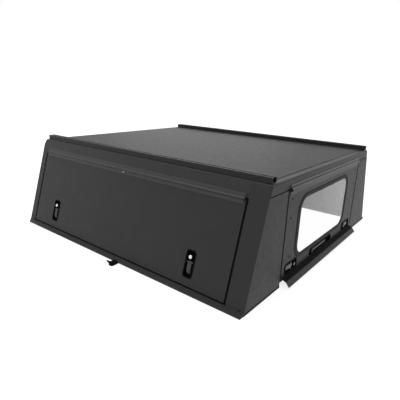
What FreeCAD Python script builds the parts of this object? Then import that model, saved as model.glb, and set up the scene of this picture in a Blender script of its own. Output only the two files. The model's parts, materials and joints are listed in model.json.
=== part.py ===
"""Hard canopy for a pickup truck's load bed: folded sheet shell, two lift-up side doors and a glazed rear door.

Millimetres. X to the right, Y forward to the cab, Z up. The origin is on the bed rail plane, at the middle
of the whole footprint, the rear skirt included. Both side walls lean in by one angle up to the eaves.
"""
import FreeCAD, Part
import math
import os
import re
import Sketcher

# Every size that can be set by itself, in millimetres or degrees, with what it measures.
SIZES = {
    "body_length": (1560, "front wall to rear face"),
    "base_half_width": (758, "centre to the side wall's plane at bed rail level"),
    "side_lean": (145, "how far each side wall leans in between there and the eaves"),
    "side_height": (490, "bed rail level to the eaves"),
    "skin": (2, "sheet thickness"),
    "frame_depth": (40, "depth of the folded frame members"),
    "door_gap": (6, "shut line round each door"),
    "side_header_height": (65, "top of the side doorways below the eaves"),
    "rear_header_height": (45, "top of the rear doorway below the eaves"),
    "eave_round": (6, "outside radius along the eaves"),
    "header_round": (8, "outside radius of the rear header's top edge"),
    "front_bend": (25, "outside radius of the bend from front wall to roof"),
    "groove": (4, "open groove between rear posts and header"),
    "gasket_height": (4, "rubber strip under the base"),
    "gasket_width": (60, "width of that strip"),
    "sill_height": (12, "top of the side sill over the bed rail"),
    "sill_reach": (30, "how far the sill flares beyond the side wall's plane"),
    "sill_width": (96, "width of the base flange of the sill"),
    "sill_lip": (3, "upright edge at the foot of the flare"),
    "sill_cut": (42, "length of the slanting cut at the sill's front end"),
    "front_margin": (50, "front wall to the side doorway"),
    "rear_margin": (91, "rear face to the side doorway"),
    "side_door_depth": (22, "folded depth of a side door"),
    "rear_door_half_width": (458, "half of the rear door's width"),
    "rear_door_low": (22, "bottom edge of the rear door"),
    "rear_door_depth": (26, "folded depth of the rear door"),
    "roof_setback": (8, "roof rail's end inside the rear face"),
    "roof_rear": (36, "roof sheet's edge inside the rear face"),
    "rail_front": (30, "roof rail's end inside the front wall"),
    "rail_inset": (8, "roof rail's outer face inside the eave"),
    "roof_sheet": (2, "thickness of the roof sheet"),
    "bow_width": (50, "width of a roof bow"),
    "bow_depth": (24, "depth of a roof bow"),
    "bow_spacing": (380, "distance between roof bows"),
    "rail_height": (24, "height of a roof rail"),
    "rail_width": (34, "width of a roof rail"),
    "rail_wall": (3, "wall of the roof rail's extrusion"),
    "rail_slot": (11, "slot along the top of the roof rail"),
    "hinge_offset": (6.5, "hinge centre line outside the panels"),
    "hinge_rise": (2, "hinge centre line above the door's top edge"),
    "bead_radius": (4, "round bead of the fixed hinge profile"),
    "bead_play": (0.08, "radial play of the hinge bead in its socket"),
    "socket_wall": (1.9, "wall of the hinge socket"),
    "neck": (2.4, "thickness of the neck that carries the bead"),
    "hinge_sheet": (2, "thickness of the flat hinge flanges"),
    "hinge_flange": (14, "height of the fixed hinge flange"),
    "hinge_leaf": (22, "height of the moving hinge leaf"),
    "hinge_inset": (8, "hinge ends inside the door's ends"),
    "side_door_angle": (85, "full opening of a side door"),
    "mouth_play": (29, "angle by which the hinge socket's mouth is wider than that opening, at each end"),
    "window_left": (119, "left side of the cut-out in the rear door from the door's left edge"),
    "window_right": (159, "right side of that cut-out from the door's right edge"),
    "window_low": (95, "bottom of that cut-out"),
    "window_drop": (59, "top of that cut-out below the rear doorway's top"),
    "window_corner": (67, "corner radius of that cut-out"),
    "seal_lip": (11, "rubber lip outside the cut-out"),
    "seal_cover": (9, "rubber inside the cut-out"),
    "seal_proud": (3, "rubber lip over the door's face"),
    "seal_depth": (8, "rubber behind the door's face"),
    "door_seal_gap": (2, "door's folded edge to the rubber behind it"),
    "door_seal_depth": (10, "depth of the doorway rubber"),
    "door_seal_width": (12, "width of the doorway rubber"),
    "glass": (4, "thickness of the rear window"),
    "glass_edge": (4, "glass edge inside the cut-out"),
    "skirt_reach": (26, "ribbed slope of the skirt, out from the door's face"),
    "skirt_lip_reach": (16, "lip beyond that slope"),
    "skirt_lip_drop": (20, "drop of the lip"),
    "skirt_top": (40, "top of the skirt's slope"),
    "skirt_edge": (29, "foot of the skirt's slope"),
    "skirt_inset": (4, "skirt's end inside the door's edge"),
    "skirt_flange": (15, "flange of the skirt on the door's face"),
    "pad_height": (2, "rubber tread between its ribs"),
    "rib_height": (1.6, "ribs over the tread"),
    "latch_length": (122, "length of a latch bezel"),
    "latch_width": (51, "width of a latch bezel"),
    "latch_corner": (14, "corner radius of a bezel"),
    "latch_depth": (20, "depth of the latch cup behind the panel"),
    "latch_rim": (3, "bezel's height over the panel"),
    "latch_edge": (1.5, "rounding of a bezel's rim"),
    "latch_lap": (3, "bezel's overlap round the cup"),
    "latch_wall": (3, "wall of the latch cup"),
    "paddle_share": (0.35, "gap round the paddle as a share of the bezel's half width"),
    "paddle_sheet": (5, "thickness of the paddle"),
    "pivot_radius": (2.5, "paddle's pivot pin"),
    "pivot_play": (0.08, "radial play of that pin"),
    "lock_radius": (9, "boss of the lock barrel"),
    "lock_inset": (30, "lock from the bezel's end"),
    "lock_sink": (1, "lock boss below the rim"),
    "handle_length": (290, "length of the rear door's middle handle"),
    "handle_shift": (-12, "middle of that handle, right of the door's middle"),
    "handle_width": (38, "width of that handle"),
    "handle_recess": (60, "open finger recess at the end of that handle"),
    "latch_front": (194, "front latch of a side door from the door's front end"),
    "latch_rear": (201, "rear latch of a side door from the door's rear end"),
    "latch_rise": (96, "latches up the side door from its bottom edge"),
    "rear_latch_margin": (90, "rear latches' middles from the rear door's side edges"),
    "rear_latch_height": (70, "height of the rear latches"),
    "handle_height": (63, "height of the middle handle"),
    "clamp_reach": (40, "bed clamp beyond the sill"),
    "clamp_height": (14, "height of the bed clamp's block"),
    "clamp_width": (28, "width of that block"),
    "clamp_arm": (36, "length of its arm"),
    "clamp_place": (-75, "bed clamp, forward of the middle of the body"),
}

doc = FreeCAD.newDocument("canopy")
sheet = doc.addObject("Spreadsheet::Sheet", "Sizes")
for row, (name, (value, note)) in enumerate(SIZES.items(), start=1):
    sheet.set(f"A{row}", name)
    sheet.set(f"B{row}", str(value))
    sheet.set(f"C{row}", note)
    sheet.setAlias(f"B{row}", name)
doc.recompute()

SUBPARTS = []


def cell(text):
    """Turn each size's name in an expression into a reference to the sheet."""
    def refer(found):
        name = found.group()
        return f"Sizes.{name}" if name in SIZES else name

    return re.sub(r"[a-z]+(_[a-z]+)*", refer, str(text))


# Expressions that several pieces share.
EAVE = "(base_half_width - side_lean)"
INNER_EAVE = f"({EAVE} - frame_depth)"
LEAN = "(side_lean / side_height)"
SKIRT = "(skirt_reach + skirt_lip_reach)"
FRONT = f"((body_length + {SKIRT}) / 2)"
REAR = f"(({SKIRT} - body_length) / 2)"
MIDDLE = f"({SKIRT} / 2)"
SILL_DROP = f"(frame_depth * {LEAN} / (1 + {LEAN} * {LEAN}))"
TILT = f"atan({LEAN})"
SKIN_ACROSS = f"(skin / cos({TILT}))"
FLOOR = "(gasket_height + skin)"
DOOR_FRONT = f"({FRONT} - front_margin - door_gap)"
DOOR_REAR = f"({REAR} + rear_margin + door_gap)"
DOOR_LOW = f"(sill_height / cos({TILT}) + door_gap)"
OPENING_TOP = "(side_height - side_header_height)"
DOOR_HIGH = f"({OPENING_TOP} / cos({TILT}) - door_gap)"
POST_INNER = "(-rear_door_half_width - door_gap)"
REAR_OPENING_TOP = "(side_height - rear_header_height)"
REAR_LATCH = "(rear_door_half_width - rear_latch_margin)"
REAR_DOOR_HIGH = f"({REAR_OPENING_TOP} - door_gap)"


def side_x(height):
    """X of the left side wall's plane at a height."""
    return f"(-base_half_width + {LEAN} * ({height}))"


SILL_OUTER = f"({side_x('gasket_height')} - sill_reach)"
SILL_FLAT = f"({side_x('sill_height')} + (sill_height - {FLOOR}) / {LEAN})"


def new_body(label):
    body = doc.addObject("PartDesign::Body", label)
    body.Label = label
    SUBPARTS.append(body)
    return body


def new_sketch(body, role, offset="0"):
    """A sketch on one of the body's own origin planes, moved along the plane's normal by offset."""
    sketch = body.newObject("Sketcher::SketchObject", body.Label + "_sketch")
    plane = [item for item in body.Origin.OriginFeatures if item.Role == role][0]
    sketch.AttachmentSupport = [(plane, "")]
    sketch.MapMode = "FlatFace"
    sketch.setExpression("AttachmentOffset.Base.z", cell(offset))
    return sketch


def fix_point(sketch, index, position, x, y, near):
    """Hold one point of the sketch at the two expressions."""
    for kind, text, start in (("DistanceX", x, near.x), ("DistanceY", y, near.y)):
        number = sketch.addConstraint(Sketcher.Constraint(kind, -1, 1, index, position, start))
        sketch.setExpression(f"Constraints[{number}]", cell(text))


def fix_radius(sketch, index, radius, near):
    number = sketch.addConstraint(Sketcher.Constraint("Radius", index, near))
    sketch.setExpression(f"Constraints[{number}]", cell(radius))


def outline(sketch, points):
    """A closed outline through the points, each given by two expressions."""
    count = len(points)
    first = sketch.GeometryCount
    angles = [math.tau * k / count for k in range(count)]
    ring = [FreeCAD.Vector(math.cos(angle), math.sin(angle), 0) for angle in angles]
    for k in range(count):
        sketch.addGeometry(Part.LineSegment(ring[k], ring[(k + 1) % count]), False)
    for k in range(count):
        sketch.addConstraint(Sketcher.Constraint("Coincident", first + k, 2, first + (k + 1) % count, 1))
    for k, (x, y) in enumerate(points):
        fix_point(sketch, first + k, 1, x, y, ring[k])
    return sketch


def rectangle(sketch, left, right, low, high):
    return outline(sketch, [(left, low), (right, low), (right, high), (left, high)])


def circle(sketch, x, y, radius):
    index = sketch.addGeometry(Part.Circle(FreeCAD.Vector(0, 0, 0), FreeCAD.Vector(0, 0, 1), 1), False)
    fix_point(sketch, index, 3, x, y, FreeCAD.Vector(0, 0, 0))
    fix_radius(sketch, index, radius, 1)
    return sketch


def smooth_loop(sketch, corners, sweep):
    """A closed outline of arcs joined by tangent sides.

    Each corner gives x, y and radius as expressions, then a rough centre and the angle where its arc starts."""
    first = sketch.GeometryCount
    rough = 0.3
    arcs = []
    for _, _, _, centre, start in corners:
        ring = Part.Circle(FreeCAD.Vector(*centre, 0), FreeCAD.Vector(0, 0, 1), rough)
        arcs.append(Part.ArcOfCircle(ring, math.radians(start), math.radians(start + sweep)))
    for arc, following in zip(arcs, arcs[1:] + arcs[:1]):
        sketch.addGeometry(arc, False)
        sketch.addGeometry(Part.LineSegment(arc.EndPoint, following.StartPoint), False)
    count = 2 * len(arcs)
    for k in range(count):
        sketch.addConstraint(Sketcher.Constraint("Tangent", first + k, 2, first + (k + 1) % count, 1))
    for k, (x, y, radius, centre, _) in enumerate(corners):
        fix_point(sketch, first + 2 * k, 3, x, y, FreeCAD.Vector(*centre, 0))
        fix_radius(sketch, first + 2 * k, radius, rough)
    return sketch


def rounded(sketch, left, right, low, high, radius):
    """A rectangle with round corners."""
    places = (("left", "low", 180), ("right", "low", 270), ("right", "high", 0), ("left", "high", 90))
    x_of = {"left": (f"{left} + ({radius})", -1), "right": (f"{right} - ({radius})", 1)}
    y_of = {"low": (f"{low} + ({radius})", -1), "high": (f"{high} - ({radius})", 1)}
    corners = [(x_of[x][0], y_of[y][0], radius, (x_of[x][1], y_of[y][1]), start) for x, y, start in places]
    return smooth_loop(sketch, corners, 90)


def plate(sketch, x, y, half, wide, corner, turn=0):
    """A latch's outline: a rectangle with round corners, whose length is upright or, when turned, level."""
    across, along = (half, wide) if turn else (wide, half)
    sides = (f"({x}) - ({across})", f"({x}) + ({across})", f"({y}) - ({along})", f"({y}) + ({along})")
    return rounded(sketch, *sides, corner)


def pad(body, sketch, length, back=False):
    feature = body.newObject("PartDesign::Pad", body.Label + "_pad")
    feature.Profile = sketch
    feature.Reversed = back
    feature.setExpression("Length", cell(length))
    doc.recompute()
    return feature


def pocket(body, sketch, length, back=False):
    """Cut along the sketch's normal when back is set, else against it."""
    before = body.Shape.Volume
    feature = body.newObject("PartDesign::Pocket", body.Label + "_pocket")
    feature.Profile = sketch
    feature.Reversed = back
    feature.setExpression("Length", cell(length))
    doc.recompute()
    if body.Shape.Volume > before - 1:
        raise ValueError(f"a pocket of {body.Label} cuts nothing")
    return feature


def hollow(body, direction):
    """Open the face that looks in a direction and leave a folded sheet pan."""
    towards = FreeCAD.Vector(*direction).normalize()
    faces = [f"Face{k}" for k, face in enumerate(body.Shape.Faces, start=1)
             if face.Surface.TypeId == "Part::GeomPlane" and face.normalAt(0, 0).dot(towards) > 0.94]
    base = body.Tip
    feature = body.newObject("PartDesign::Thickness", body.Label + "_pan")
    feature.Base = (base, faces)
    feature.Reversed = True
    feature.Join = 1
    feature.setExpression("Value", cell("skin"))
    doc.recompute()
    return feature


def round_edges(body, radius, wanted):
    """Fillet the edges that the test picks."""
    edges = [f"Edge{k}" for k, edge in enumerate(body.Shape.Edges, start=1) if wanted(edge)]
    base = body.Tip
    feature = body.newObject("PartDesign::Fillet", body.Label + "_round")
    feature.Base = (base, edges)
    feature.setExpression("Radius", cell(radius))
    doc.recompute()
    return feature


def lies_at(**limits):
    """A test for edges whose ends all share the given coordinates, such as Z=490."""
    def test(edge):
        return all(abs(getattr(vertex, axis) - value) < 0.01
                   for vertex in edge.Vertexes for axis, value in limits.items())
    return test


def across(body, points, front, rear):
    """A prism along Y whose cross-section lies in the XZ plane."""
    sketch = outline(new_sketch(body, "XZ_Plane", f"-({front})"), points)
    pad(body, sketch, f"({front}) - ({rear})")


def mirror(source, label):
    """The same piece on the right-hand side."""
    copy = doc.addObject("Part::Mirroring", label)
    copy.Label = label
    copy.Source = source
    copy.Normal = (1, 0, 0)
    copy.Base = (0, 0, 0)
    SUBPARTS.append(copy)
    return copy


def place(body, x, y, z, turns):
    """Bind a piece's place: turns is a list of (axis, angle expression), the first one outermost."""
    rotations = " * ".join(f"rotation(vector({a}; {b}; {c}); {angle})" for (a, b, c), angle in turns)
    body.setExpression("Placement", cell(f"placement(vector({x}; {y}; {z}); {rotations})"))
    doc.recompute()


# Left side wall: local x runs rearwards, y up the slope, z straight out of the panel.


def on_side(body, x="0", y="0", z="0"):
    """Lay a piece on the left side wall's plane, moved by x, y, z in that plane's own directions."""
    place(body,
          f"-base_half_width + sin({TILT}) * ({y}) - cos({TILT}) * ({z})",
          f"-({x})",
          f"cos({TILT}) * ({y}) + sin({TILT}) * ({z})",
          [((0, 1, 0), TILT), ((0, 0, 1), "-90"), ((1, 0, 0), "90")])


def on_rear(body, x="0", y="0", z="0", roll="0"):
    """Stand a piece on the rear face: local x to the right, y up, z straight out to the rear."""
    place(body, x, f"{REAR} - ({z})", y, [((1, 0, 0), "90"), ((0, 0, 1), roll)])


def make_roof():
    body = new_body("roof_panel")
    sketch = rectangle(new_sketch(body, "XY_Plane", "side_height"),
                       f"-{EAVE} + eave_round", f"{EAVE} - eave_round",
                       f"{REAR} + roof_rear", f"{FRONT} - front_bend")
    pad(body, sketch, "roof_sheet")

    bows = new_body("roof_bows")
    bows.AllowCompound = True
    middle = f"({MIDDLE} - bow_spacing)"
    low = "(side_height - bow_depth)"
    section = outline(new_sketch(bows, "YZ_Plane", f"-{INNER_EAVE}"), [
        (f"{middle} - bow_width / 2", low),
        (f"{middle} - bow_width / 2 + skin", low),
        (f"{middle} - bow_width / 2 + skin", "side_height - skin"),
        (f"{middle} + bow_width / 2 - skin", "side_height - skin"),
        (f"{middle} + bow_width / 2 - skin", low),
        (f"{middle} + bow_width / 2", low),
        (f"{middle} + bow_width / 2", "side_height"),
        (f"{middle} - bow_width / 2", "side_height"),
    ])
    first = pad(bows, section, f"2 * {INNER_EAVE}")
    row = bows.newObject("PartDesign::LinearPattern", "bow_row")
    row.Originals = [first]
    row.Direction = ([item for item in bows.Origin.OriginFeatures if item.Role == "Y_Axis"][0], [""])
    row.setExpression("Length", cell("2 * bow_spacing"))
    row.Occurrences = 3
    bows.Tip = row
    doc.recompute()


def make_rail():
    """Slotted extrusion that runs along the roof over the left eave."""
    body = new_body("left_roof_rail")
    low = "(side_height + roof_sheet)"
    high = f"({low} + rail_height)"
    left = f"(-{EAVE} + rail_inset)"
    right = f"({left} + rail_width)"
    middle = f"({left} + rail_width / 2)"
    points = [
        (left, low), (right, low), (right, high),
        (f"{middle} + rail_slot / 2", high),
        (f"{middle} + rail_slot / 2", f"{high} - rail_wall"),
        (f"{right} - rail_wall", f"{high} - rail_wall"),
        (f"{right} - rail_wall", f"{low} + rail_wall"),
        (f"{left} + rail_wall", f"{low} + rail_wall"),
        (f"{left} + rail_wall", f"{high} - rail_wall"),
        (f"{middle} - rail_slot / 2", f"{high} - rail_wall"),
        (f"{middle} - rail_slot / 2", high),
        (left, high),
    ]
    across(body, points, f"{FRONT} - rail_front", f"{REAR} + roof_setback")
    mirror(body, "right_roof_rail")


def make_side_frame():
    """Header over the side door, post in front of it and the flared sill below."""
    foot = f"({OPENING_TOP} - {SILL_DROP})"
    header = new_body("left_side_header")
    across(header, [
        (side_x(OPENING_TOP), OPENING_TOP),
        (f"{side_x(foot)} + frame_depth", foot),
        (f"{side_x('side_height')} + frame_depth", "side_height"),
        (side_x("side_height"), "side_height"),
    ], f"{FRONT} - skin", f"{REAR} + rear_margin")
    top = sheet.get("side_height")
    eave = sheet.get("base_half_width") - sheet.get("side_lean")
    round_edges(header, "front_bend - skin", lies_at(Z=top, Y=header.Shape.BoundBox.YMax))
    round_edges(header, "eave_round", lies_at(Z=top, X=-eave))
    hollow(header, (1, 0, -0.3))
    mirror(header, "right_side_header")

    post = new_body("left_front_post")
    across(post, [
        (side_x("sill_height"), "sill_height"),
        (SILL_FLAT, FLOOR),
        (f"{side_x(FLOOR)} + frame_depth", FLOOR),
        (f"{side_x(foot)} + frame_depth", foot),
        (side_x(OPENING_TOP), OPENING_TOP),
    ], f"{FRONT} - skin", f"{FRONT} - front_margin")
    hollow(post, (1, 0, -0.3))
    mirror(post, "right_front_post")

    sill = new_body("left_side_sill")
    top = side_x("sill_height")
    fall = f"atan((sill_height - gasket_height - sill_lip) / ({top} - {SILL_OUTER}))"
    points = [
        (f"{SILL_OUTER} + sill_width", FLOOR),
        (SILL_FLAT, FLOOR),
        (top, "sill_height"),
        (SILL_OUTER, "gasket_height + sill_lip"),
        (SILL_OUTER, "gasket_height"),
        (f"{SILL_OUTER} + skin", "gasket_height"),
        (f"{SILL_OUTER} + skin", f"gasket_height + sill_lip - skin * (1 - sin({fall})) / cos({fall})"),
        (f"{top} + skin * (sin({fall}) - sin({TILT})) / (1 + cos({fall} + {TILT}))",
         f"sill_height - skin * (cos({fall}) + cos({TILT})) / (1 + cos({fall} + {TILT}))"),
        (f"{SILL_FLAT} - skin * tan({TILT} / 2)", "gasket_height"),
        (f"{SILL_OUTER} + sill_width", "gasket_height"),
    ]
    across(sill, points, f"{FRONT} - skin", f"{REAR} + rear_margin")
    corner = new_sketch(sill, "XY_Plane", "side_height")
    front = f"({FRONT} - skin)"
    outline(corner, [(f"{SILL_OUTER} - skin", f"{front} - sill_cut"), (top, front),
                     (top, f"{front} + skin"), (f"{SILL_OUTER} - skin", f"{front} + skin")])
    pocket(sill, corner, "side_height")
    mirror(sill, "right_side_sill")


def make_rear_post():
    """Folded corner post: side strip, wide rear strip and a return flange along each doorway."""
    body = new_body("left_rear_post")
    front = f"({REAR} + rear_margin)"

    def plan(height):
        outer = side_x(height)
        return [
            (outer, REAR),
            (POST_INNER, REAR),
            (POST_INNER, f"{REAR} + frame_depth"),
            (f"{POST_INNER} - skin", f"{REAR} + frame_depth"),
            (f"{POST_INNER} - skin", f"{REAR} + skin"),
            (f"{outer} + {SKIN_ACROSS}", f"{REAR} + skin"),
            (f"{outer} + {SKIN_ACROSS}", f"{front} - skin"),
            (f"{outer} + frame_depth", f"{front} - skin"),
            (f"{outer} + frame_depth", front),
            (outer, front),
        ]

    foot = outline(new_sketch(body, "XY_Plane", "gasket_height"), plan("gasket_height"))
    head = outline(new_sketch(body, "XY_Plane", REAR_OPENING_TOP), plan(REAR_OPENING_TOP))
    loft = body.newObject("PartDesign::AdditiveLoft", body.Label + "_loft")
    loft.Profile = foot
    loft.Sections = [head]
    loft.Ruled = True
    doc.recompute()
    groove = rectangle(new_sketch(body, "XZ_Plane", f"-({REAR} + skin)"),
                       f"{side_x(REAR_OPENING_TOP)} + 2 * skin", f"{POST_INNER} + skin",
                       f"{REAR_OPENING_TOP} - groove", f"{REAR_OPENING_TOP} + skin")
    pocket(body, groove, "2 * skin", back=True)
    across(body, [
        (side_x("sill_height"), "sill_height"),
        (SILL_OUTER, "gasket_height + sill_lip"),
        (SILL_OUTER, "gasket_height"),
        (side_x("gasket_height"), "gasket_height"),
    ], front, REAR)
    mirror(body, "right_rear_post")


def make_rear_header():
    """Folded beam over the rear door, with a return over each corner post."""
    body = new_body("rear_header")
    points = [
        (side_x(REAR_OPENING_TOP), REAR_OPENING_TOP),
        (f"-{side_x(REAR_OPENING_TOP)}", REAR_OPENING_TOP),
        (f"-{side_x('side_height')}", "side_height"),
        (side_x("side_height"), "side_height"),
    ]
    across(body, points, f"{REAR} + rear_margin", REAR)
    top, eave = sheet.get("side_height"), sheet.get("base_half_width") - sheet.get("side_lean")
    round_edges(body, "header_round", lies_at(Z=top, Y=body.Shape.BoundBox.YMin))
    for edge in (-eave, eave):
        round_edges(body, "eave_round", lies_at(Z=top, X=edge))
    hollow(body, (0, 1, 0))
    middle = rectangle(new_sketch(body, "XY_Plane", "side_height + skin"), f"-{INNER_EAVE}", INNER_EAVE,
                       f"{REAR} + frame_depth", f"{REAR} + rear_margin + skin")
    pocket(body, middle, "side_height")


def make_front_wall():
    """Front sheet with a bend into the roof and a flange at the head and the foot."""
    body = new_body("front_wall")
    back = f"({FRONT} - skin)"
    section = outline(new_sketch(body, "YZ_Plane", "-base_half_width"), [
        (FRONT, "gasket_height"), (FRONT, "side_height"), (f"{FRONT} - frame_depth", "side_height"),
        (f"{FRONT} - frame_depth", "side_height - skin"), (back, "side_height - skin"), (back, "gasket_height"),
    ])
    pad(body, section, "2 * base_half_width")
    box = body.Shape.BoundBox
    skin = sheet.get("skin")
    round_edges(body, "front_bend", lies_at(Z=box.ZMax, Y=box.YMax))
    round_edges(body, "front_bend - skin", lies_at(Z=box.ZMax - skin, Y=box.YMax - skin))
    low, high = "(side_height - front_bend)", "(side_height + skin)"
    for way in ("-", ""):
        beside = outline(new_sketch(body, "XZ_Plane", f"-({FRONT} + skin)"), [
            (f"{way}base_half_width", "0"), (f"{way}(-{side_x(low)})", low),
            (f"{way}(-{side_x(low)} - frame_depth)", low), (f"{way}(-{side_x(high)} - frame_depth)", high),
            (f"{way}(base_half_width + skin)", high), (f"{way}(base_half_width + skin)", "0")])
        pocket(body, beside, "frame_depth + 2 * skin", back=True)
    inner = f"({SILL_OUTER} + sill_width)"
    flange = rectangle(new_sketch(body, "XY_Plane", "gasket_height"), inner, f"-{inner}",
                       f"{FRONT} - frame_depth", back)
    pad(body, flange, "skin")


def make_gasket():
    body = new_body("base_gasket")
    body.AllowCompound = True
    sketch = new_sketch(body, "XY_Plane")
    near, far = f"({SILL_OUTER} + 2 * skin)", f"({SILL_OUTER} + 2 * skin + gasket_width)"
    inner = f"({SILL_OUTER} + sill_width)"
    rectangle(sketch, near, far, REAR, f"{FRONT} - sill_cut")
    rectangle(sketch, f"-{far}", f"-{near}", REAR, f"{FRONT} - sill_cut")
    rectangle(sketch, f"{far} + skin", POST_INNER, REAR, f"{REAR} + frame_depth")
    rectangle(sketch, f"-{POST_INNER}", f"-{far} - skin", REAR, f"{REAR} + frame_depth")
    rectangle(sketch, inner, f"-{inner}", f"{FRONT} - frame_depth", FRONT)
    pad(body, sketch, "gasket_height")


def make_bed_clamp():
    """Small block at the sill's edge that holds the canopy to the bed, with an arm that reaches forward."""
    body = new_body("left_bed_clamp")
    near, far = SILL_OUTER, f"({SILL_OUTER} - clamp_reach)"
    middle = f"({MIDDLE} + clamp_place)"
    half = "(clamp_width / 2)"
    block = rounded(new_sketch(body, "XY_Plane"), far, f"{near} + 2 * skin", f"{middle} - {half}",
                    f"{middle} + {half}", "clamp_width / 3")
    pad(body, block, "clamp_height")
    arm = outline(new_sketch(body, "XY_Plane"), [
        (f"{near} - clamp_reach / 4", f"{middle} + {half} - skin"),
        (f"{near} - clamp_reach / 2", f"{middle} + {half} + clamp_arm"),
        (f"{near} - clamp_reach * 3 / 4", f"{middle} + {half} - skin"),
    ])
    pad(body, arm, "clamp_height / 2")
    under = rectangle(new_sketch(body, "XZ_Plane", f"-({middle} + clamp_width)"), near, f"{near} + clamp_width",
                      "gasket_height", "clamp_height + skin")
    pocket(body, under, "2 * clamp_width", back=True)
    mirror(body, "right_bed_clamp")


def hinge_profiles(fixed, leaf, start, end):
    """Rolled hinge: a beaded profile fixed over the door and a leaf whose socket turns on the bead.

    Local y is up the panel and z out of it, with the hinge's centre line on the x axis."""
    face = "(-hinge_offset)"
    web = "(hinge_rise + door_gap)"
    length = f"({end}) - ({start})"
    sketch = new_sketch(fixed, "YZ_Plane", start)
    outline(sketch, [
        ("-neck / 4", "neck / 2"), (f"{web} + hinge_sheet", "neck / 2"),
        (f"{web} + hinge_sheet", f"{face} + hinge_sheet"),
        (f"{web} + hinge_flange", f"{face} + hinge_sheet"), (f"{web} + hinge_flange", face),
        (web, face), (web, "-neck / 2"), ("-neck / 4", "-neck / 2"),
    ])
    pad(fixed, sketch, length)
    pad(fixed, circle(new_sketch(fixed, "YZ_Plane", start), "0", "0", "bead_radius"), length)

    socket = "(bead_radius + bead_play + socket_wall)"
    pad(leaf, circle(new_sketch(leaf, "YZ_Plane", start), "0", "0", socket), length)
    strip = new_sketch(leaf, "YZ_Plane", start)
    rectangle(strip, "-hinge_leaf", "-neck", face, f"{face} + hinge_sheet")
    pad(leaf, strip, length)
    bore = circle(new_sketch(leaf, "YZ_Plane", start), "0", "0", "bead_radius + bead_play")
    pocket(leaf, bore, length, back=True)
    mouth = new_sketch(leaf, "YZ_Plane", start)
    wide = f"({socket} * 2)"
    outline(mouth, [
        ("0", "0"),
        (f"{wide} * cos(side_door_angle + mouth_play)", f"{wide} * sin(side_door_angle + mouth_play)"),
        (wide, wide),
        (wide, f"-{wide} * tan(mouth_play)"),
    ])
    pocket(leaf, mouth, length, back=True)


def make_latch(name, half, wide, corner, recess, put):
    """Latch: a bezel with a deep cup and a lock boss at its upper end, and a paddle on a cross pin."""
    bezel = new_body(name + "_bezel")
    edge = "(latch_lap + latch_wall)"
    clear = f"(paddle_share * {wide})"

    def smaller(inset, offset="0"):
        return plate(new_sketch(bezel, "XY_Plane", offset), "0", "0", f"{half} - {inset}", f"{wide} - {inset}",
                     f"{corner} - {inset}")

    pad(bezel, smaller("0"), "latch_rim")
    round_edges(bezel, "latch_edge", lies_at(Z=sheet.get("latch_rim")))
    pad(bezel, smaller("latch_lap"), "latch_depth", back=True)
    pocket(bezel, smaller(edge, "latch_rim"), "latch_rim + latch_depth - latch_wall")
    lock = f"({half} - lock_inset)"
    boss = circle(new_sketch(bezel, "XY_Plane", "-latch_depth"), "0", lock, "lock_radius")
    pad(bezel, boss, "latch_depth + latch_rim - lock_sink")
    pivot = f"({lock} - lock_radius - {clear} - 2 * pivot_radius)"
    depth = "(-pivot_radius)"
    hole = circle(new_sketch(bezel, "YZ_Plane", f"-{wide}"), pivot, depth, "pivot_radius + pivot_play")
    pocket(bezel, hole, f"2 * {wide}", back=True)

    paddle = new_body(name + "_paddle")
    tip = f"({wide} - {edge} - {clear})"
    top = f"({pivot} + 2 * pivot_radius)"
    low = f"({edge} + {clear} + {recess} - {half})"
    blade = plate(new_sketch(paddle, "XY_Plane", f"{depth} - paddle_sheet / 2"), "0", f"({top} + {low}) / 2",
                  f"({top} - {low}) / 2", tip, f"{tip} * 3 / 4")
    pad(paddle, blade, "paddle_sheet")
    reach = f"({wide} - latch_lap - latch_wall / 2)"
    pin = circle(new_sketch(paddle, "YZ_Plane", f"-{reach}"), pivot, depth, "pivot_radius")
    pad(paddle, pin, f"2 * {reach}")
    put(bezel)
    put(paddle)
    return bezel, paddle


LATCH = ("(latch_length / 2)", "(latch_width / 2)", "latch_corner")
HANDLE = ("(handle_length / 2)", "(handle_width / 2)", "latch_corner")


def cut_latch_hole(body, x, y, shape, turn=0):
    """Open the panel for a latch cup."""
    sketch = plate(new_sketch(body, "XY_Plane"), x, y, *[f"{size} - latch_lap" for size in shape], turn)
    pocket(body, sketch, "skin")


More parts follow.
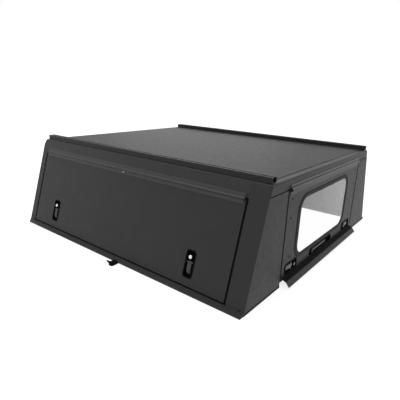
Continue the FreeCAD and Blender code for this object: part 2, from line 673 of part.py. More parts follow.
def make_side_door():
    door = new_body("left_side_door")
    panel = rectangle(new_sketch(door, "XY_Plane"), f"-{DOOR_FRONT}", f"-{DOOR_REAR}", DOOR_LOW, DOOR_HIGH)
    pad(door, panel, "side_door_depth", back=True)
    hollow(door, (0, 0, -1))
    rise = f"({DOOR_LOW} + latch_rise)"
    places = (("front", f"(latch_front - {DOOR_FRONT})"), ("rear", f"(-{DOOR_REAR} - latch_rear)"))
    for _, x in places:
        cut_latch_hole(door, x, rise, LATCH)
    on_side(door)
    mirror(door, "right_side_door")

    fixed, leaf = new_body("left_hinge_rail"), new_body("left_hinge_leaf")
    hinge_profiles(fixed, leaf, f"-{DOOR_FRONT} + hinge_inset", f"-{DOOR_REAR} - hinge_inset")
    for piece in (fixed, leaf):
        on_side(piece, "0", f"{DOOR_HIGH} + hinge_rise", "hinge_offset")
    mirror(fixed, "right_hinge_rail")
    mirror(leaf, "right_hinge_leaf")

    for end, x in places:
        name = f"side_latch_{end}"
        pieces = make_latch("left_" + name, *LATCH, "0", lambda piece, x=x: on_side(piece, x, rise))
        for piece, kind in zip(pieces, ("bezel", "paddle")):
            mirror(piece, f"right_{name}_{kind}")

    seal = new_body("left_door_seal")
    back = "(side_door_depth + door_seal_gap + door_seal_depth)"
    ends = (f"-({FRONT} - front_margin)", f"-({REAR} + rear_margin)")
    low = f"(({FLOOR} + {back} * sin({TILT})) / cos({TILT}))"
    high = f"({OPENING_TOP} / cos({TILT}))"
    ring = rectangle(new_sketch(seal, "XY_Plane", f"-{back}"), *ends, low, high)
    rectangle(ring, f"{ends[0]} + door_seal_width", f"{ends[1]} - door_seal_width",
              f"{low} + door_seal_width", f"{high} - door_seal_width")
    pad(seal, ring, "door_seal_depth")
    on_side(seal)
    mirror(seal, "right_door_seal")


def pane_sides(grow):
    """The window cut-out's left, right, low and high sides, grown by a margin."""
    return (f"window_left - rear_door_half_width - ({grow})", f"rear_door_half_width - window_right + ({grow})",
            f"window_low - ({grow})", f"{REAR_OPENING_TOP} - window_drop + ({grow})")


def pane(body, start, grow):
    """The window cut-out's outline on a plane of the body, grown by a margin."""
    return rounded(new_sketch(body, "XY_Plane", start), *pane_sides(grow), f"window_corner + ({grow})")


def make_rear_door():
    door = new_body("rear_door")
    panel = rectangle(new_sketch(door, "XY_Plane"), "-rear_door_half_width", "rear_door_half_width",
                      "rear_door_low", REAR_DOOR_HIGH)
    pad(door, panel, "rear_door_depth", back=True)
    hollow(door, (0, 0, -1))
    cut_latch_hole(door, f"-{REAR_LATCH}", "rear_latch_height", LATCH, -90)
    cut_latch_hole(door, REAR_LATCH, "rear_latch_height", LATCH, 90)
    cut_latch_hole(door, "handle_shift", "handle_height", HANDLE, 90)
    pocket(door, pane(door, "0", "0"), "skin")
    on_rear(door)

    seal = new_body("rear_window_seal")
    pad(seal, pane(seal, "-seal_depth", "seal_lip"), "seal_depth + seal_proud")
    pocket(seal, pane(seal, "seal_proud", "-seal_cover"), "seal_depth + seal_proud")
    slot = pane(seal, "0", "seal_lip + skin")
    rounded(slot, *pane_sides("0"), "window_corner")
    pocket(seal, slot, "skin")
    pocket(seal, pane(seal, "0", "-glass_edge"), "glass")
    on_rear(seal)

    glass = new_body("rear_window_glass")
    pad(glass, pane(glass, "0", "-glass_edge"), "glass", back=True)
    on_rear(glass)

    fixed, leaf = new_body("rear_hinge_rail"), new_body("rear_hinge_leaf")
    hinge_profiles(fixed, leaf, "-rear_door_half_width + hinge_inset", "rear_door_half_width - hinge_inset")
    for piece in (fixed, leaf):
        on_rear(piece, "0", f"{REAR_DOOR_HIGH} + hinge_rise", "hinge_offset")

    pieces = make_latch("rear_latch_left", *LATCH, "0",
                        lambda piece: on_rear(piece, f"-{REAR_LATCH}", "rear_latch_height", "0", "-90"))
    for piece, kind in zip(pieces, ("bezel", "paddle")):
        mirror(piece, f"rear_latch_right_{kind}")
    make_latch("rear_handle", *HANDLE, "handle_recess",
               lambda piece: on_rear(piece, "handle_shift", "handle_height", "0", "90"))

    rubber = new_body("rear_door_seal")
    high = REAR_OPENING_TOP
    frame = outline(new_sketch(rubber, "XY_Plane", "-rear_door_depth - door_seal_gap"), [
        (POST_INNER, "gasket_height"), (f"{POST_INNER} + door_seal_width", "gasket_height"),
        (f"{POST_INNER} + door_seal_width", f"{high} - door_seal_width"),
        (f"-{POST_INNER} - door_seal_width", f"{high} - door_seal_width"),
        (f"-{POST_INNER} - door_seal_width", "gasket_height"), (f"-{POST_INNER}", "gasket_height"),
        (f"-{POST_INNER}", high), (POST_INNER, high),
    ])
    pad(rubber, frame, "door_seal_depth", back=True)
    on_rear(rubber)


def make_skirt():
    """Sloping tread and lip folded from one strip along the foot of the rear door, with ribbed rubber on it."""
    body = new_body("rear_door_skirt")
    fall = "atan((skirt_top - skirt_edge) / skirt_reach)"
    bend = "atan(skirt_lip_drop / skirt_lip_reach)"
    fold = f"(skin / (1 + cos({bend} - {fall})))"
    tip = "(skirt_edge - skirt_lip_drop)"
    points = [
        ("0", "skirt_top"),
        ("skirt_reach", "skirt_edge"),
        (SKIRT, tip),
        (f"{SKIRT} - skin * sin({bend})", f"{tip} - skin * cos({bend})"),
        (f"skirt_reach - {fold} * (sin({fall}) + sin({bend}))",
         f"skirt_edge - {fold} * (cos({fall}) + cos({bend}))"),
        ("skin", f"skirt_top - skin * tan({fall}) - skin / cos({fall})"),
        ("skin", "skirt_top - skirt_flange"),
        ("0", "skirt_top - skirt_flange"),
    ]
    end = "(rear_door_half_width - skirt_inset)"
    sketch = outline(new_sketch(body, "YZ_Plane", f"-{end}"), [(f"{REAR} - ({y})", z) for y, z in points])
    pad(body, sketch, f"2 * {end}")

    tread = new_body("rear_skirt_tread")
    slope = f"(skirt_reach / cos({fall}) - skin)"
    ribs = 4
    bands = 2 * ribs - 1
    section = [("0", "0")]
    for k in range(bands):
        height = "pad_height" if k % 2 else "pad_height + rib_height"
        section += [(f"{slope} * {k} / {bands}", height), (f"{slope} * {k + 1} / {bands}", height)]
    section.append((slope, "0"))
    sketch = outline(new_sketch(tread, "YZ_Plane", f"skin - {end}"), [
        (f"{REAR} - ({along}) * cos({fall}) - ({up}) * sin({fall})",
         f"skirt_top - ({along}) * sin({fall}) + ({up}) * cos({fall})") for along, up in section])
    pad(tread, sketch, f"2 * {end} - 2 * skin")


make_roof()
make_rail()
make_side_frame()
make_rear_post()
make_rear_header()
make_front_wall()
make_gasket()
make_bed_clamp()
make_side_door()
make_rear_door()
make_skirt()

doc.recompute()
for item in doc.Objects:
    if "Invalid" in item.State or "Error" in item.State:
        raise ValueError(f"{item.Label} failed")
os.makedirs("parts", exist_ok=True)
for item in SUBPARTS:
    if item.Shape.isNull() or not item.Shape.isValid():
        raise ValueError(f"{item.Label} has no valid shape")
    item.Shape.exportStep(os.path.join("parts", item.Label + ".step"))
    box = item.Shape.BoundBox
    print(item.Label, len(item.Shape.Solids), round(item.Shape.Volume), [round(v, 1) for v in
          (box.XMin, box.YMin, box.ZMin, box.XMax, box.YMax, box.ZMax)])
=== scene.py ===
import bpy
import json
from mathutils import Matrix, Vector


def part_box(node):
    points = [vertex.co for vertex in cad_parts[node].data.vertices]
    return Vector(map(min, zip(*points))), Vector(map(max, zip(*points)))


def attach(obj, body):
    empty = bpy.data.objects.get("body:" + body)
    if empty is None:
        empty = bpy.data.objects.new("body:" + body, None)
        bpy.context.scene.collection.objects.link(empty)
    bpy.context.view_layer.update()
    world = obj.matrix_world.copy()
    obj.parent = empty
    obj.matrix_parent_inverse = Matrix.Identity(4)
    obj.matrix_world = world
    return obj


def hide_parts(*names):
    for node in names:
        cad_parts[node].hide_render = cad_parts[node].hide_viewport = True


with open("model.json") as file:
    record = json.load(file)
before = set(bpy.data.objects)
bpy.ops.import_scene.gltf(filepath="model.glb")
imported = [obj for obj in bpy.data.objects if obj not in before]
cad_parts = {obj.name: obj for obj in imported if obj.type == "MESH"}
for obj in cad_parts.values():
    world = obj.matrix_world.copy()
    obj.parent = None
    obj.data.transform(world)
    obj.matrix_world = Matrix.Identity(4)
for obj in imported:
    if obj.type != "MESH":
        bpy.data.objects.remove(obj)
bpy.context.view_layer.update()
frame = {"nodes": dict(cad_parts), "record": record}

import json
import math

import bmesh
import bpy
from mathutils import Matrix, Vector

MM = 0.001

# The side walls lean in from the bed rails to the eaves.
BASE_HALF = 758 * MM
EAVE_HALF = 613 * MM
SIDE_HEIGHT = 490 * MM
TILT = math.atan((BASE_HALF - EAVE_HALF) / SIDE_HEIGHT)
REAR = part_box("rear_door")[0].y

# Doorways in millimetres: the side ones as seen on the left wall, the rear one on the rear face.
DOORWAY_FRONT, DOORWAY_REAR = -751, 668
DOORWAY_FOOT, DOORWAY_TOP = 12, 425
REAR_DOORWAY_HALF, REAR_DOORWAY_FOOT, REAR_DOORWAY_TOP = 464, 4, 445
DOOR_GAP = 6

BODY_OF = {node: body for body, nodes in frame["record"]["behaviour"]["bodies"].items()
           for node in nodes}
SLOT_OF = {entry["node"]: entry["material_slot"] for entry in frame["record"]["subparts"]}


# Frames of the panels: local x and y lie in the panel and z points out of it.


def left_side(x=0.0, y=0.0, z=0.0):
    """On the left wall: x runs rearwards, y up the slope and z out."""
    across = Vector((0, -1, 0))
    up = Vector((math.sin(TILT), 0, math.cos(TILT)))
    out = Vector((-math.cos(TILT), 0, math.sin(TILT)))
    turn = Matrix((across, up, out)).transposed().to_4x4()
    foot = Matrix.Translation(Vector((-BASE_HALF, 0, 0)))
    return foot @ turn @ Matrix.Translation((x, y, z))


def rear_face(x=0.0, y=0.0, z=0.0):
    """On the rear face: x runs to the right, y up and z out to the rear."""
    axes = Vector((1, 0, 0)), Vector((0, 0, 1)), Vector((0, -1, 0))
    turn = Matrix(axes).transposed().to_4x4()
    return Matrix.Translation(Vector((0, REAR, 0))) @ turn @ Matrix.Translation((x, y, z))


def up_slope(height):
    """Metres up the side wall's slope to a height in millimetres."""
    return height * MM / math.cos(TILT)


HERE = Matrix.Identity(4)
FLIP = Matrix.Scale(-1, 4, Vector((1, 0, 0)))
SIDES = (("left", HERE), ("right", FLIP))


# Materials.

# Noise gathers round a half, so only this middle part of its range is spread out.
NOISE_LOW, NOISE_HIGH = 0.3, 0.7
# Waves per metre of the clouds in a coat's colour and in its gloss, and the gloss's swing.
CLOUD, GLOSS_CLOUD, GLOSS_SWING = 9.0, 45.0, 0.05
GRAIN_STRENGTH = 0.5


def nodes_of(name):
    """A new material with its tree, its shader and the object coordinates."""
    made = bpy.data.materials.new(name)
    made.use_nodes = True
    tree = made.node_tree
    shader = tree.nodes["Principled BSDF"]
    place = tree.nodes.new("ShaderNodeTexCoord").outputs["Object"]
    return made, tree, shader, place


def noise(tree, place, scale, detail, stretch=None):
    """Noise in object space; scale is in waves per metre."""
    if stretch:
        mapping = tree.nodes.new("ShaderNodeMapping")
        mapping.inputs["Scale"].default_value = stretch
        tree.links.new(place, mapping.inputs["Vector"])
        place = mapping.outputs["Vector"]
    node = tree.nodes.new("ShaderNodeTexNoise")
    node.inputs["Scale"].default_value = scale
    node.inputs["Detail"].default_value = detail
    tree.links.new(place, node.inputs["Vector"])
    return node.outputs["Fac"]


def spread(tree, value, low, high):
    """Noise brought to run from low to high."""
    node = tree.nodes.new("ShaderNodeMapRange")
    node.inputs["From Min"].default_value = NOISE_LOW
    node.inputs["From Max"].default_value = NOISE_HIGH
    node.inputs["To Min"].default_value = low
    node.inputs["To Max"].default_value = high
    tree.links.new(value, node.inputs["Value"])
    return node.outputs["Result"]


def ramp(tree, value, dark, light):
    """Noise turned into a colour from dark to light."""
    node = tree.nodes.new("ShaderNodeValToRGB")
    ends = node.color_ramp.elements
    for end, position, color in ((ends[0], NOISE_LOW, dark), (ends[1], NOISE_HIGH, light)):
        end.position = position
        end.color = (*color, 1)
    tree.links.new(value, node.inputs["Fac"])
    return node.outputs["Color"]


def any_of(tree, first, second):
    """One where either of two ray tests holds, else nought."""
    node = tree.nodes.new("ShaderNodeMath")
    node.operation = "ADD"
    node.use_clamp = True
    tree.links.new(first, node.inputs[0])
    tree.links.new(second, node.inputs[1])
    return node.outputs[0]


def mixed(tree, share, first, second):
    """The first shader, giving way to the second as the share goes from 0 to 1."""
    node = tree.nodes.new("ShaderNodeMixShader")
    tree.links.new(share, node.inputs["Fac"])
    tree.links.new(first, node.inputs[1])
    tree.links.new(second, node.inputs[2])
    return node.outputs["Shader"]


def tinted(color, factor):
    return tuple(channel * factor for channel in color)


def coated(name, color, rough, vary, grain, depth, metallic=0.0, specular=0.5, stretch=None):
    """A surface with faint cloudy colour, uneven gloss and a fine grain.

    The colour varies by a share vary; grain is in waves per metre and its depth in millimetres.
    """
    made, tree, shader, place = nodes_of(name)
    broad = noise(tree, place, CLOUD, 4.0)
    color_out = ramp(tree, broad, tinted(color, 1 - vary), tinted(color, 1 + vary))
    tree.links.new(color_out, shader.inputs["Base Color"])
    gloss = noise(tree, place, GLOSS_CLOUD, 5.0)
    rough_out = spread(tree, gloss, rough - GLOSS_SWING, rough + GLOSS_SWING)
    tree.links.new(rough_out, shader.inputs["Roughness"])
    shader.inputs["Metallic"].default_value = metallic
    shader.inputs["Specular IOR Level"].default_value = specular
    relief = tree.nodes.new("ShaderNodeBump")
    relief.inputs["Strength"].default_value = GRAIN_STRENGTH
    relief.inputs["Distance"].default_value = depth * MM
    tree.links.new(noise(tree, place, grain, 3.0, stretch), relief.inputs["Height"])
    tree.links.new(relief.outputs["Normal"], shader.inputs["Normal"])
    return made


def clear_glass(name):
    """Clear glass that lets most of the light through to what it would shade."""
    made, tree, shader, place = nodes_of(name)
    shader.inputs["Base Color"].default_value = (0.985, 0.985, 0.985, 1)
    shader.inputs["Transmission Weight"].default_value = 1.0
    shader.inputs["IOR"].default_value = 1.45
    smears = spread(tree, noise(tree, place, 6.0, 3.0), 0.0, 0.03)
    tree.links.new(smears, shader.inputs["Roughness"])
    clear = tree.nodes.new("ShaderNodeBsdfTransparent")
    clear.inputs["Color"].default_value = (0.92, 0.92, 0.92, 1)
    shadow = tree.nodes.new("ShaderNodeLightPath").outputs["Is Shadow Ray"]
    surface = mixed(tree, shadow, shader.outputs["BSDF"], clear.outputs["BSDF"])
    tree.links.new(surface, tree.nodes["Material Output"].inputs["Surface"])
    return made


PAINT = (0.040, 0.040, 0.041)
MATERIALS = {
    "grey_paint": coated("powder_coat", PAINT, 0.5, 0.06, 1400, 0.06, specular=0.28),
    "black_rail": coated("black_anodised", (0.014, 0.014, 0.0145), 0.5, 0.08, 900, 0.03,
                         specular=0.3, stretch=(1, 0.02, 1)),
    "hinge_profile": coated("coated_profile", (0.046, 0.046, 0.047), 0.45, 0.05, 1200, 0.04,
                            stretch=(1, 0.05, 1)),
    "black_rubber": coated("black_rubber", (0.007, 0.007, 0.007), 0.75, 0.15, 1800, 0.1,
                           specular=0.12),
    "black_plastic": coated("moulded_black", (0.004, 0.004, 0.004), 0.6, 0.12, 1100, 0.1,
                            specular=0.05),
    # The rear latch paddles' light grey is partly painted reflection: they are made far lighter
    # than the side paddles for the floor light they catch.
    "paddle_metal": coated("satin_grey_with_painted_reflection", (0.24, 0.24, 0.24), 0.38, 0.06, 1000, 0.04),
    "glass": clear_glass("clear_glass"),
}
# Painted light: the side headers get a coat 15% lighter than the paint for the extra light that
# falls on them; the real sheet is the same colour.
LIT_HEADER_PAINT = coated("header_coat_with_painted_light", tinted(PAINT, 1.15), 0.5, 0.06, 1400, 0.06, specular=0.28)
ROOF_PAINT = coated("roof_coat", PAINT, 0.56, 0.06, 1400, 0.06, specular=0.22)
# A much lighter coat for the rear hinge rail: a painted highlight along its knuckle, where it
# catches the overhead light.
HIGHLIGHT_PROFILE = coated("rear_profile_painted_highlight", (0.10, 0.10, 0.10), 0.4, 0.05, 1200, 0.04,
                       stretch=(0.05, 1, 1))
WINDOW_RUBBER = coated("window_rubber", (0.020, 0.020, 0.020), 0.66, 0.1, 1600, 0.08,
                       specular=0.25)
TREAD_RUBBER = coated("tread_rubber", (0.012, 0.012, 0.012), 0.7, 0.2, 1500, 0.12,
                      specular=0.12)
HINGE_CAP = coated("hinge_cap", (0.02, 0.02, 0.02), 0.55, 0.1, 1100, 0.06, specular=0.4)
CHROME = coated("plated_lock", (0.8, 0.8, 0.81), 0.25, 0.05, 700, 0.02, metallic=1.0)
DULL_LOCK = coated("dull_lock", (0.2, 0.2, 0.2), 0.35, 0.05, 700, 0.02, metallic=1.0)
DARK_LOCK = coated("dark_lock", (0.06, 0.06, 0.06), 0.4, 0.05, 700, 0.02, metallic=1.0)
DARK_SCREW = coated("black_screw", (0.02, 0.02, 0.02), 0.42, 0.1, 900, 0.03, metallic=0.6)
STUD = coated("dull_stud", (0.42, 0.42, 0.42), 0.5, 0.08, 900, 0.03)
DARK_PADDLE = coated("dark_paddle", (0.05, 0.05, 0.05), 0.42, 0.08, 1000, 0.04)
HANDLE_PADDLE = coated("handle_paddle", (0.085, 0.085, 0.085), 0.4, 0.06, 1000, 0.04)

# Nodes that keep their CAD mesh but not the plain look of their slot; the rear hinge rail's
# lighter coat is a painted highlight.
OWN_LOOK = {"rear_hinge_rail": HIGHLIGHT_PROFILE, "roof_panel": ROOF_PAINT}
for node, slot in SLOT_OF.items():
    carried = frame["nodes"][node]
    if not carried.material_slots:
        carried.data.materials.append(None)
    for place in carried.material_slots:
        place.material = OWN_LOOK.get(node, MATERIALS[slot])


# Pieces.

SHARP = 35      # degrees between two faces above which their edge stays sharp


def piece(name, mesh, matrix, body, look, smooth=True):
    """A finished piece that rides on a body."""
    made = bpy.data.objects.new(name, mesh)
    bpy.context.scene.collection.objects.link(made)
    mesh.materials.clear()
    mesh.materials.append(look)
    mesh.transform(matrix)
    if matrix.determinant() < 0:
        mesh.flip_normals()
    if smooth:
        mesh.shade_smooth()
        mesh.set_sharp_from_angle(angle=math.radians(SHARP))
    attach(made, body)
    return made


def stands_for(node, mesh, matrix, look=None, smooth=True):
    """A finer piece in the place of a CAD node."""
    slot = SLOT_OF[node]
    made = piece(f"{node}_fine", mesh, matrix, BODY_OF[node], look or MATERIALS[slot], smooth)
    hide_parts(node)
    return made


# Meshes.


def meshed(work, name):
    """Turn the work mesh's faces outward and make a plain mesh of it."""
    bmesh.ops.recalc_face_normals(work, faces=work.faces)
    mesh = bpy.data.meshes.new(name)
    work.to_mesh(mesh)
    work.free()
    return mesh


def joined(work, first, second, closed=True):
    """Four-sided faces between two rows of as many corners."""
    count = len(first)
    for k in range(count if closed else count - 1):
        n = (k + 1) % count
        work.faces.new((first[k], first[n], second[n], second[k]))


def circle(radius, count):
    """Points round a circle."""
    angles = [math.tau * k / count for k in range(count)]
    return [(radius * math.cos(angle), radius * math.sin(angle)) for angle in angles]


def lathe(profile, count=40):
    """A closed turned mesh about z.

    The profile is a list of (radius, z) from the middle of the foot to the middle of the top.
    """
    work = bmesh.new()
    rings = []
    for radius, z in profile:
        points = circle(radius, count) if radius else [(0, 0)]
        rings.append([work.verts.new((x, y, z)) for x, y in points])
    for low, high in zip(rings, rings[1:]):
        for k in range(count):
            n = (k + 1) % count
            corners = [low[k % len(low)], low[n % len(low)], high[n % len(high)],
                       high[k % len(high)]]
            unique = list(dict.fromkeys(corners))
            if len(unique) > 2:
                work.faces.new(unique)
    return meshed(work, "lathe")


def prism(outline, low, high):
    """An upright prism over an outline of (x, y) points."""
    work = bmesh.new()
    rings = [[work.verts.new((x, y, z)) for x, y in outline] for z in (low, high)]
    work.faces.new(rings[0][::-1])
    work.faces.new(rings[1])
    joined(work, *rings)
    return meshed(work, "prism")


def result_of(rough):
    """The mesh of a scratch object after its modifiers."""
    bpy.context.view_layer.update()
    finished = rough.evaluated_get(bpy.context.evaluated_depsgraph_get())
    return bpy.data.meshes.new_from_object(finished)


def carved(mesh, cutter):
    """The mesh minus the cutter, by a boolean."""
    scene = bpy.context.scene.collection
    body, tool = bpy.data.objects.new("carve", mesh), bpy.data.objects.new("tool", cutter)
    scene.objects.link(body)
    scene.objects.link(tool)
    cut = body.modifiers.new("cut", "BOOLEAN")
    cut.operation = "DIFFERENCE"
    cut.object = tool
    made = result_of(body)
    for spent in (body, tool):
        bpy.data.objects.remove(spent)
    return made


def lock_mesh():
    """Plated lock barrel: a raised rim, a dished plug and a keyway."""
    radius, foot, face = 8.2 * MM, 0.2 * MM, 2.7 * MM
    chamfer, plug, sunk = 0.5 * MM, 1.6 * MM, 2.0 * MM
    wide, tall, deep, above = 1.5 * MM, 7.5 * MM, 1.6 * MM, 1 * MM
    barrel = lathe([(0, foot), (radius, foot), (radius, face - chamfer), (radius - chamfer, face),
                    (radius - plug, face), (radius - sunk, face - chamfer), (0, face - chamfer)])
    keyway = [(-wide / 2, -tall / 2), (wide / 2, -tall / 2), (wide / 2, tall / 2),
              (-wide / 2, tall / 2)]
    return carved(barrel, prism(keyway, face - deep, face + above))


# A button head's outline from foot to crown, as shares of its radius and height.
BUTTON = ((0, 0), (1, 0), (1, 0.25), (0.9, 0.62), (0.68, 0.9), (0.45, 1), (0, 1))


def button_screw(size):
    """Button-head screw with a six-sided socket; its size is in millimetres."""
    radius, height, socket = (length * MM for length in size)
    head = lathe([(radius * wide, height * tall) for wide, tall in BUTTON])
    return carved(head, prism(circle(socket / 2, 6), height * 0.35, height * 1.5))


def eased(section, radius, steps=2):
    """A closed outline with its corners rounded."""
    points = []
    count = len(section)
    for k in range(count):
        before, corner, after = (Vector(section[(k + shift) % count]) for shift in (-1, 0, 1))
        ends = []
        for other in (before, after):
            edge = other - corner
            ends.append(corner + edge.normalized() * min(radius, edge.length * 0.45))
        start, end = ends
        for step in range(steps + 1):
            share = step / steps
            points.append(start * (1 - share) ** 2 + corner * 2 * share * (1 - share)
                          + end * share ** 2)
    return points


def rim(left, right, low, high, radius, grow, steps=14, foot=False):
    """A rectangle with round corners, grown by a margin; foot leaves its lower side open."""
    centres = [(right - radius, high - radius, 0), (left + radius, high - radius, 90)]
    if not foot:
        centres += [(left + radius, low + radius, 180), (right - radius, low + radius, 270)]
    points = []
    for x, y, start in centres:
        for k in range(steps + 1):
            angle = math.radians(start + 90 * k / steps)
            points.append((x + (radius + grow) * math.cos(angle),
                           y + (radius + grow) * math.sin(angle)))
    return [(right + grow, low)] + points + [(left - grow, low)] if foot else points


def swept(section, path, closed=True):
    """A strip whose section, a list of (grow, z), runs round a path that depends on grow."""
    work = bmesh.new()
    loops = [[work.verts.new((x, y, z)) for x, y in path(grow)] for grow, z in section]
    for first, second in zip(loops, loops[1:] + loops[:1]):
        joined(work, first, second, closed)
    if not closed:
        work.faces.new([loop[0] for loop in loops])
        work.faces.new([loop[-1] for loop in loops])
    return meshed(work, "swept")


def extruded(work, section, start, end, place):
    """Add a prism to the work mesh: section points (u, v) go through place(u, v, run)."""
    ends = [[work.verts.new(place(u, v, run)) for u, v in section] for run in (start, end)]
    joined(work, *ends)
    for ring in ends:
        work.faces.new(ring)


# Corners nearer than WELD are one, faces within FLAT are joined, and edges over ROUND_FROM degrees
# are rounded.
WELD, FLAT, ROUND_FROM = 0.001 * MM, 0.5, 32


def softened(node, width):
    """The CAD node's own shape with its sharp edges rounded."""
    work = bmesh.new()
    work.from_mesh(frame["nodes"][node].data)
    bmesh.ops.remove_doubles(work, verts=work.verts, dist=WELD)
    bmesh.ops.dissolve_limit(work, angle_limit=math.radians(FLAT), verts=work.verts,
                             edges=work.edges)
    rough = bpy.data.objects.new("rough", meshed(work, "rough"))
    bpy.context.scene.collection.objects.link(rough)
    bevel = rough.modifiers.new("bevel", "BEVEL")
    bevel.width = width
    bevel.segments = 2
    bevel.limit_method = "ANGLE"
    bevel.angle_limit = math.radians(ROUND_FROM)
    bevel.use_clamp_overlap = True
    bevel.harden_normals = True
    mesh = result_of(rough)
    bpy.data.objects.remove(rough)
    return mesh


def scaled(section):
    """A section in millimetres as one in metres."""
    return [(grow * MM, z * MM) for grow, z in section]


# Folded sheet, extrusions and mouldings keep their CAD shape, with their edges rounded.

SHEET_EDGE, PROFILE_EDGE, MOULDED_EDGE = 0.8 * MM, 0.4 * MM, 1.5 * MM
for stem, width in (("side_header", SHEET_EDGE), ("front_post", SHEET_EDGE),
                    ("side_sill", SHEET_EDGE), ("rear_post", SHEET_EDGE),
                    ("side_door", SHEET_EDGE), ("roof_rail", PROFILE_EDGE),
                    ("bed_clamp", MOULDED_EDGE)):
    # The side headers take the lighter coat, which is painted light.
    look = LIT_HEADER_PAINT if stem == "side_header" else None
    for side, _ in SIDES:
        stands_for(f"{side}_{stem}", softened(f"{side}_{stem}", width), HERE, look, smooth=False)
for node in ("rear_header", "front_wall", "rear_door", "rear_door_skirt"):
    stands_for(node, softened(node, SHEET_EDGE), HERE, smooth=False)


# Rubber. Sections are (grow, z) in millimetres, grow away from the opening and z out of the panel.

SEAL_SECTION = [(-9, 0.1), (-9, 0.8), (-7.4, 1.3), (-6.6, 0.5), (-5.8, 1.6), (-4, 2.7), (0, 3),
                (6, 2.9), (8, 2.3), (8.7, 0.6), (9.5, 1.2), (11, 0.7), (11, 0.05), (-0.1, 0.05),
                (-0.1, -2.05), (9, -2.05), (9.6, -3.2), (8, -5.6), (3, -7.6), (-4, -7.9),
                (-8, -6.9), (-9, -4.05), (-4.05, -4.05), (-4.05, 0.1)]
BULB_SECTION = [(0, 0), (0, 3), (-2.4, 3.2), (-2.0, 7), (-4, 9.9), (-8, 9.9), (-10, 7),
                (-9.6, 3.2), (-12, 3), (-12, 0)]
EDGING_SECTION = [(0, 0.05), (0, 0.9), (0.6, 1.2), (3.2, 1.2), (4, 0.6), (4, 0.05)]

# Window rubber, laid round the cut-out that it hides.
SEAL_LIP, WINDOW_CORNER, SEAL_ROUND = 11 * MM, 67 * MM, 0.5
low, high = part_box("rear_window_seal")
window = (low.x + SEAL_LIP, high.x - SEAL_LIP, low.z + SEAL_LIP, high.z - SEAL_LIP, WINDOW_CORNER)
seal = swept(scaled(eased(SEAL_SECTION, SEAL_ROUND)), lambda grow: rim(*window, grow))
stands_for("rear_window_seal", seal, rear_face(), WINDOW_RUBBER)

# Bulb seals behind the doors, at a depth that clears the folded door.
SIDE_SEAT, REAR_SEAT, SEAL_RISE, SEAL_CORNER = 34, 38, 6, 16 * MM
BULB_ROUND, BULB_STEPS = 1.6, 3
bulb = scaled(eased(BULB_SECTION, BULB_ROUND, BULB_STEPS))
seal_foot = up_slope(SEAL_RISE + SIDE_SEAT * math.sin(TILT))
doorway = (DOORWAY_FRONT * MM, DOORWAY_REAR * MM, seal_foot, up_slope(DOORWAY_TOP), SEAL_CORNER)
rear_doorway = (-REAR_DOORWAY_HALF * MM, REAR_DOORWAY_HALF * MM, REAR_DOORWAY_FOOT * MM,
                REAR_DOORWAY_TOP * MM, SEAL_CORNER)
for side, flip in SIDES:
    stands_for(f"{side}_door_seal", swept(bulb, lambda grow: rim(*doorway, grow)),
               flip @ left_side(0, 0, -SIDE_SEAT * MM))
stands_for("rear_door_seal",
           swept(bulb, lambda grow: rim(*rear_doorway, grow, foot=True), closed=False),
           rear_face(0, 0, -REAR_SEAT * MM))

# Inner bead of the window rubber on the glass, wider at its sides. Each loop of it lies inside
# the cut-out by these margins: left, right, foot and top, corner; then its height.
BEAD = (((8.5, 8.5, 8.5, 8.5), 0.05), ((8.5, 8.5, 8.5, 8.5), 1.0), ((14, 12.5, 9.5, 10), 1.4),
        ((20, 17, 11, 12), 0.7), ((20, 17, 11, 12), 0.05))


def bead_loop(k):
    left, right, foot, top, corner = window
    at_left, at_right, at_ends, at_corner = (margin * MM for margin in BEAD[k][0])
    return rim(left + at_left, right - at_right, foot + at_ends, top - at_ends,
               corner - at_corner, 0)


bead = swept([(k, height * MM) for k, (_, height) in enumerate(BEAD)], bead_loop)
piece("rear_window_bead", bead, rear_face(), "rear_door", WINDOW_RUBBER)

# Thin rubber edging on the frames round the doors.
EDGING_TOP, REAR_EDGING_FOOT, REAR_EDGING_TOP = 442 * MM, 44 * MM, 440 * MM
EDGING_ROUND = 0.3
edging = scaled(eased(EDGING_SECTION, EDGING_ROUND))


def side_edging_path(grow):
    """Down one side of the doorway, along its foot and up the other side."""
    left, right = DOORWAY_FRONT * MM - grow, DOORWAY_REAR * MM + grow
    foot = up_slope(DOORWAY_FOOT) - grow
    return [(left, EDGING_TOP), (left, foot), (right, foot), (right, EDGING_TOP)]


def rear_edging_path(grow):
    x = -REAR_DOORWAY_HALF * MM - grow
    return [(x, REAR_EDGING_TOP), (x, REAR_EDGING_FOOT)]


for name, path, place in (("{}_door_edging", side_edging_path, left_side()),
                          ("rear_{}_edging", rear_edging_path, rear_face())):
    for side, flip in SIDES:
        piece(name.format(side), swept(edging, path, closed=False), flip @ place, "shell",
              MATERIALS["black_rubber"])


# Strips under the base. Their sizes are in millimetres.
STRIP_HEIGHT, SIDE_STRIP, END_STRIP = 4, 60, 40
GROOVE, GROOVE_PITCH, GROOVE_DEPTH = 2.4, 9.0, 0.9
SIDE_STRIP_X, REAR_STRIP_Y, FRONT_STRIP_Y, STRIP_ROUND = 752.8, -739, 781, 0.8
SIDE_STRIP_HALF, FRONT_STRIP_HALF, REAR_STRIP_ENDS = 759, 690.8, (464, 720.8)
# Upright rubber lip on the rear strips' edge.
REAR_LIP = [(-20, 0.1), (-21.4, 0.1), (-21.4, 6.6), (-20.1, 6.6)]
REAR_LIP_ROUND, REAR_LIP_ENDS = 0.5, (464.5, 757)


def strip_section(width):
    """Rubber strip with fine grooves along its underside."""
    points = [(width / 2, STRIP_HEIGHT), (-width / 2, STRIP_HEIGHT), (-width / 2, 0)]
    count = int(width // GROOVE_PITCH)
    for k in range(count):
        middle = (k - (count - 1) / 2) * GROOVE_PITCH
        points += [(middle - GROOVE / 2, 0), (middle - GROOVE / 3, GROOVE_DEPTH),
                   (middle + GROOVE / 3, GROOVE_DEPTH), (middle + GROOVE / 2, 0)]
    return points + [(width / 2, 0)]


